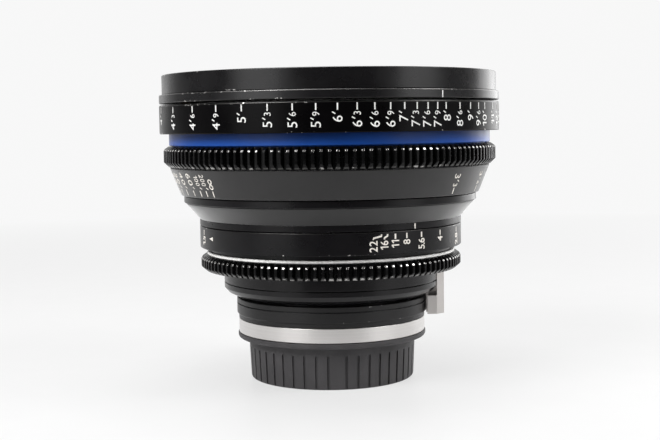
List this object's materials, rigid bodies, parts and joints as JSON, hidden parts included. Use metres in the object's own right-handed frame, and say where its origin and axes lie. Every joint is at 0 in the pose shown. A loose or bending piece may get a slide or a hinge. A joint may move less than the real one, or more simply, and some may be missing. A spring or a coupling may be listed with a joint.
{
  "type": "cinema prime lens",
  "caption": "Cinema prime lens with geared focus and iris rings, engraved scales, a leaf iris, a bayonet rear mount, a support foot and a ribbed rear cap, standing front up.",
  "frame": {"origin": "centre of the rear cap's underside, on the optical axis", "axes": "+Z along the optical axis towards the front of the lens, -Y the side that carries the scales in view, +X the support foot's side"},
  "size_m": [0.116, 0.116, 0.104],
  "materials": {
    "black_anodised": "satin black hard anodising with worn edges",
    "grey_anodised": "satin dark grey anodising",
    "blue_anodised": "satin blue anodising",
    "gear_black": "glossy black anodised teeth",
    "bare_aluminium": "turned bare aluminium",
    "mount_steel": "turned and chromed mount ring",
    "black_screw": "blackened steel",
    "steel_pin": "ground steel",
    "brass": "turned brass",
    "hard_anodised": "grey hard anodising",
    "matt_black": "matt black antireflection finish",
    "coated_glass": "polished optical glass with antireflection coating",
    "blade_black": "dry black film on spring steel",
    "white_polymer": "low-friction polymer",
    "cap_plastic": "moulded black plastic",
    "red_enamel": "red enamel"
  },
  "bodies": {
    "barrel": {"front_ring": "black_anodised", "index_flange": "black_anodised", "front_screws": "black_screw", "focus_stop_block": "brass", "main_barrel": "hard_anodised", "thrust_washers": "white_polymer", "step_ring": "black_anodised", "lower_cone_ring": "grey_anodised", "iris_index_band": "black_anodised", "housing_screws": "black_screw", "rear_barrel": "black_anodised", "iris_stop_pin": "steel_pin", "mount_adapter": "grey_anodised", "mount_index_dot": "red_enamel", "mount_shim": "brass", "bayonet_mount": "mount_steel", "mount_screws": "steel_pin", "rear_baffle": "matt_black", "support_foot": "bare_aluminium", "foot_screws": "black_screw"},
    "focus_ring": {"focus_scale_ring": "black_anodised", "focus_blue_ring": "blue_anodised", "focus_gear": "gear_black", "focus_cone_ring": "grey_anodised", "focus_drum": "hard_anodised", "focus_ring_screws": "black_screw", "focus_stop_pin": "steel_pin"},
    "optics": {"optics_carrier": "matt_black", "cam_followers": "steel_pin", "front_bezel": "matt_black", "front_lock_ring": "matt_black", "front_cell": "matt_black", "front_element": "coated_glass", "second_element": "coated_glass", "third_element": "coated_glass", "element_spacer": "matt_black", "iris_lock_ring": "matt_black", "iris_pivot_plate": "brass", "rear_cell": "matt_black", "doublet_front_element": "coated_glass", "doublet_rear_element": "coated_glass", "rear_element": "coated_glass", "rear_lock_ring": "matt_black"},
    "iris_ring": {"iris_scale_ring": "black_anodised", "iris_sleeve": "bare_aluminium", "iris_gear": "gear_black", "iris_ring_screws": "black_screw"},
    "iris_cam": {"iris_cam_ring": "brass", "iris_drive_pin": "steel_pin"},
    "rear_cap": {"rear_cap": "cap_plastic"},
    "iris_blade_01": {"iris_blade_01": "blade_black"},
    "iris_blade_02": {"iris_blade_02": "blade_black"},
    "iris_blade_03": {"iris_blade_03": "blade_black"},
    "iris_blade_04": {"iris_blade_04": "blade_black"},
    "iris_blade_05": {"iris_blade_05": "blade_black"},
    "iris_blade_06": {"iris_blade_06": "blade_black"},
    "iris_blade_07": {"iris_blade_07": "blade_black"},
    "iris_blade_08": {"iris_blade_08": "blade_black"},
    "iris_blade_09": {"iris_blade_09": "blade_black"},
    "iris_blade_10": {"iris_blade_10": "blade_black"}
  },
  "joints": [
    {"name": "focus_turn", "type": "hinge", "parent": "barrel", "child": "focus_ring", "pos_m": [0, 0, 0.079], "axis": [0, 0, 1], "range_deg": [-101.6, 160.4]},
    {"name": "optics_slide", "type": "slide", "parent": "barrel", "child": "optics", "axis": [0, 0, 1], "range_m": [-0.00345, 0.00545]},
    {"name": "iris_turn", "type": "hinge", "parent": "barrel", "child": "iris_ring", "pos_m": [0, 0, 0.046], "axis": [0, 0, 1], "range_deg": [-78, 16]},
    {"name": "iris_cam_turn", "type": "hinge", "parent": "optics", "child": "iris_cam", "pos_m": [0, 0, 0.051], "axis": [0, 0, 1], "range_deg": [-78.01, 16.01]},
    {"name": "cap_pull", "type": "slide", "parent": "barrel", "child": "rear_cap", "axis": [0, 0, -1], "range_m": [0, 0.03]},
    {"name": "leaf_01_pivot", "type": "hinge", "parent": "optics", "child": "iris_blade_01", "pos_m": [0.026, 0, 0.0535], "axis": [0, 0, 1], "range_deg": [-29.43, 6.05]},
    {"name": "leaf_02_pivot", "type": "hinge", "parent": "optics", "child": "iris_blade_02", "pos_m": [0.02103, 0.01528, 0.0535], "axis": [0, 0, 1], "range_deg": [-29.43, 6.05]},
    {"name": "leaf_03_pivot", "type": "hinge", "parent": "optics", "child": "iris_blade_03", "pos_m": [0.00803, 0.02473, 0.0535], "axis": [0, 0, 1], "range_deg": [-29.43, 6.05]},
    {"name": "leaf_04_pivot", "type": "hinge", "parent": "optics", "child": "iris_blade_04", "pos_m": [-0.00803, 0.02473, 0.0535], "axis": [0, 0, 1], "range_deg": [-29.43, 6.05]},
    {"name": "leaf_05_pivot", "type": "hinge", "parent": "optics", "child": "iris_blade_05", "pos_m": [-0.02103, 0.01528, 0.0535], "axis": [0, 0, 1], "range_deg": [-29.43, 6.05]},
    {"name": "leaf_06_pivot", "type": "hinge", "parent": "optics", "child": "iris_blade_06", "pos_m": [-0.026, 0, 0.0535], "axis": [0, 0, 1], "range_deg": [-29.43, 6.05]},
    {"name": "leaf_07_pivot", "type": "hinge", "parent": "optics", "child": "iris_blade_07", "pos_m": [-0.02103, -0.01528, 0.0535], "axis": [0, 0, 1], "range_deg": [-29.43, 6.05]},
    {"name": "leaf_08_pivot", "type": "hinge", "parent": "optics", "child": "iris_blade_08", "pos_m": [-0.00803, -0.02473, 0.0535], "axis": [0, 0, 1], "range_deg": [-29.43, 6.05]},
    {"name": "leaf_09_pivot", "type": "hinge", "parent": "optics", "child": "iris_blade_09", "pos_m": [0.00803, -0.02473, 0.0535], "axis": [0, 0, 1], "range_deg": [-29.43, 6.05]},
    {"name": "leaf_10_pivot", "type": "hinge", "parent": "optics", "child": "iris_blade_10", "pos_m": [0.02103, -0.01528, 0.0535], "axis": [0, 0, 1], "range_deg": [-29.43, 6.05]}
  ],
  "couplings": [
    {"joint": "optics_slide", "follows": "focus_turn", "m_per_rad": 0.0019463},
    {"joint": "iris_cam_turn", "follows": "iris_turn", "ratio": 1},
    {"joint": "leaf_01_pivot", "follows": "iris_turn", "ratio": 0.37706},
    {"joint": "leaf_02_pivot", "follows": "iris_turn", "ratio": 0.37706},
    {"joint": "leaf_03_pivot", "follows": "iris_turn", "ratio": 0.37706},
    {"joint": "leaf_04_pivot", "follows": "iris_turn", "ratio": 0.37706},
    {"joint": "leaf_05_pivot", "follows": "iris_turn", "ratio": 0.37706},
    {"joint": "leaf_06_pivot", "follows": "iris_turn", "ratio": 0.37706},
    {"joint": "leaf_07_pivot", "follows": "iris_turn", "ratio": 0.37706},
    {"joint": "leaf_08_pivot", "follows": "iris_turn", "ratio": 0.37706},
    {"joint": "leaf_09_pivot", "follows": "iris_turn", "ratio": 0.37706},
    {"joint": "leaf_10_pivot", "follows": "iris_turn", "ratio": 0.37706}
  ]
}
